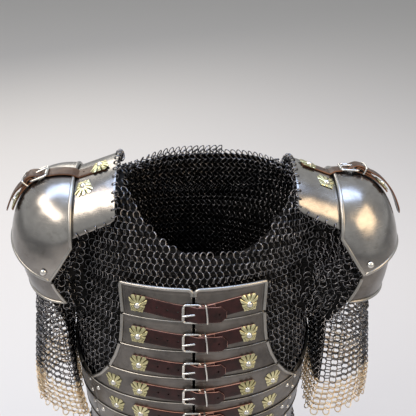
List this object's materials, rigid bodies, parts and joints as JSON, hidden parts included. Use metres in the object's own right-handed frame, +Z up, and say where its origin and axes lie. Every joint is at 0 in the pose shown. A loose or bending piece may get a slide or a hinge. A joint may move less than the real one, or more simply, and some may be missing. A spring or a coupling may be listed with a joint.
{
  "type": "mail and laminar armour",
  "caption": "Worn-shape ring mail shirt with short sleeves, a laminar steel cuirass closed in front by buckled straps, and domed shoulder defences on hinges.",
  "frame": {"origin": "centre of the armour's bounding box in plan, on the plane that the hem stands on", "axes": "+Z up from hem to neck, -Y the wearer's front, +X to the right as seen from the front; left and right in all names are as seen from the front"},
  "size_m": [0.542, 0.33, 0.7307],
  "materials": {
    "mail": "blackened, oiled",
    "lame_steel": "satin, dark grey",
    "polished_steel": "polished, lightly worn",
    "strap_leather": "smooth, dark red-brown, raw edges paler",
    "buckle_steel": "bright"
  },
  "bodies": {
    "armour": {"mail_shirt": "mail", "mail_sleeve_left": "mail", "mail_sleeve_right": "mail", "back_plate": "lame_steel", "row_1_lame_left": "lame_steel", "row_1_lame_right": "lame_steel", "row_1_tail_strap": "strap_leather", "row_1_buckle_strap": "strap_leather", "row_1_buckle_frame": "buckle_steel", "row_2_lame_left": "lame_steel", "row_2_lame_right": "lame_steel", "row_2_tail_strap": "strap_leather", "row_2_buckle_strap": "strap_leather", "row_2_buckle_frame": "buckle_steel", "row_3_lame_left": "lame_steel", "row_3_lame_right": "lame_steel", "row_3_tail_strap": "strap_leather", "row_3_buckle_strap": "strap_leather", "row_3_buckle_frame": "buckle_steel", "row_4_lame_left": "lame_steel", "row_4_lame_right": "lame_steel", "row_4_tail_strap": "strap_leather", "row_4_buckle_strap": "strap_leather", "row_4_buckle_frame": "buckle_steel", "row_5_lame_left": "lame_steel", "row_5_lame_right": "lame_steel", "row_5_tail_strap": "strap_leather", "row_5_buckle_strap": "strap_leather", "row_5_buckle_frame": "buckle_steel", "row_6_lame_left": "lame_steel", "row_6_lame_right": "lame_steel", "row_6_tail_strap": "strap_leather", "row_6_buckle_strap": "strap_leather", "row_6_buckle_frame": "buckle_steel", "row_7_lame_left": "lame_steel", "row_7_lame_right": "lame_steel", "row_7_tail_strap": "strap_leather", "row_7_buckle_strap": "strap_leather", "row_7_buckle_frame": "buckle_steel", "left_shoulder_plate": "polished_steel", "left_shoulder_strap": "strap_leather", "right_shoulder_plate": "polished_steel", "right_shoulder_strap": "strap_leather"},
    "row_1_tongue": {"row_1_buckle_tongue": "buckle_steel"},
    "row_2_tongue": {"row_2_buckle_tongue": "buckle_steel"},
    "row_3_tongue": {"row_3_buckle_tongue": "buckle_steel"},
    "row_4_tongue": {"row_4_buckle_tongue": "buckle_steel"},
    "row_5_tongue": {"row_5_buckle_tongue": "buckle_steel"},
    "row_6_tongue": {"row_6_buckle_tongue": "buckle_steel"},
    "row_7_tongue": {"row_7_buckle_tongue": "buckle_steel"},
    "left_shoulder_cop": {"left_cop": "polished_steel", "left_cop_strap": "strap_leather", "left_shoulder_buckle_frame": "buckle_steel"},
    "left_shoulder_tongue": {"left_shoulder_buckle_tongue": "buckle_steel"},
    "left_lame": {"left_lower_lame": "polished_steel"},
    "right_shoulder_cop": {"right_cop": "polished_steel", "right_cop_strap": "strap_leather", "right_shoulder_buckle_frame": "buckle_steel"},
    "right_shoulder_tongue": {"right_shoulder_buckle_tongue": "buckle_steel"},
    "right_lame": {"right_lower_lame": "polished_steel"}
  },
  "joints": [
    {"name": "row_1_tongue_hinge", "type": "hinge", "parent": "armour", "child": "row_1_tongue", "pos_m": [-0.00666, -0.10827, 0.57027], "axis": [0.0042, 0.2865, 0.9581], "range_deg": [0, 90]},
    {"name": "row_2_tongue_hinge", "type": "hinge", "parent": "armour", "child": "row_2_tongue", "pos_m": [-0.00677, -0.12077, 0.52884], "axis": [0.0027, 0.2242, 0.9745], "range_deg": [0, 90]},
    {"name": "row_3_tongue_hinge", "type": "hinge", "parent": "armour", "child": "row_3_tongue", "pos_m": [-0.00683, -0.12976, 0.4872], "axis": [0.0011, 0.1326, 0.9912], "range_deg": [0, 90]},
    {"name": "row_4_tongue_hinge", "type": "hinge", "parent": "armour", "child": "row_4_tongue", "pos_m": [-0.00684, -0.13572, 0.44585], "axis": [0.0005, 0.0819, 0.9966], "range_deg": [0, 90]},
    {"name": "row_5_tongue_hinge", "type": "hinge", "parent": "armour", "child": "row_5_tongue", "pos_m": [-0.00684, -0.13796, 0.404], "axis": [-0.0003, -0.0391, 0.9992], "range_deg": [0, 90]},
    {"name": "row_6_tongue_hinge", "type": "hinge", "parent": "armour", "child": "row_6_tongue", "pos_m": [-0.00683, -0.13625, 0.36248], "axis": [-0.0008, -0.112, 0.9937], "range_deg": [0, 90]},
    {"name": "row_7_tongue_hinge", "type": "hinge", "parent": "armour", "child": "row_7_tongue", "pos_m": [-0.00683, -0.1327, 0.32133], "axis": [-0.001, -0.134, 0.991], "range_deg": [0, 90]},
    {"name": "left_cop_hinge", "type": "hinge", "parent": "armour", "child": "left_shoulder_cop", "pos_m": [-0.1725, -0.00084, 0.71197], "axis": [0, 0.9976, 0.0698], "range_deg": [0, 30], "deforming": ["left_shoulder_strap"]},
    {"name": "left_shoulder_tongue_hinge", "type": "hinge", "parent": "left_shoulder_cop", "child": "left_shoulder_tongue", "pos_m": [-0.22835, -0.0005, 0.70713], "axis": [0, -0.9976, -0.0698], "range_deg": [0, 90]},
    {"name": "left_lower_lame_hinge", "type": "hinge", "parent": "left_shoulder_cop", "child": "left_lame", "pos_m": [-0.20958, 0.00574, 0.6179], "axis": [0, 0.9976, 0.0698], "range_deg": [0, 12]},
    {"name": "right_cop_hinge", "type": "hinge", "parent": "armour", "child": "right_shoulder_cop", "pos_m": [0.1725, 0.00167, 0.71188], "axis": [0, -0.9903, 0.1392], "range_deg": [0, 30], "deforming": ["right_shoulder_strap"]},
    {"name": "right_shoulder_tongue_hinge", "type": "hinge", "parent": "right_shoulder_cop", "child": "right_shoulder_tongue", "pos_m": [0.20393, 0.00244, 0.71734], "axis": [0, 0.9903, -0.1392], "range_deg": [0, 90]},
    {"name": "right_lower_lame_hinge", "type": "hinge", "parent": "right_shoulder_cop", "child": "right_lame", "pos_m": [0.20958, -0.01145, 0.6185], "axis": [0, -0.9903, 0.1392], "range_deg": [0, 12]}
  ]
}
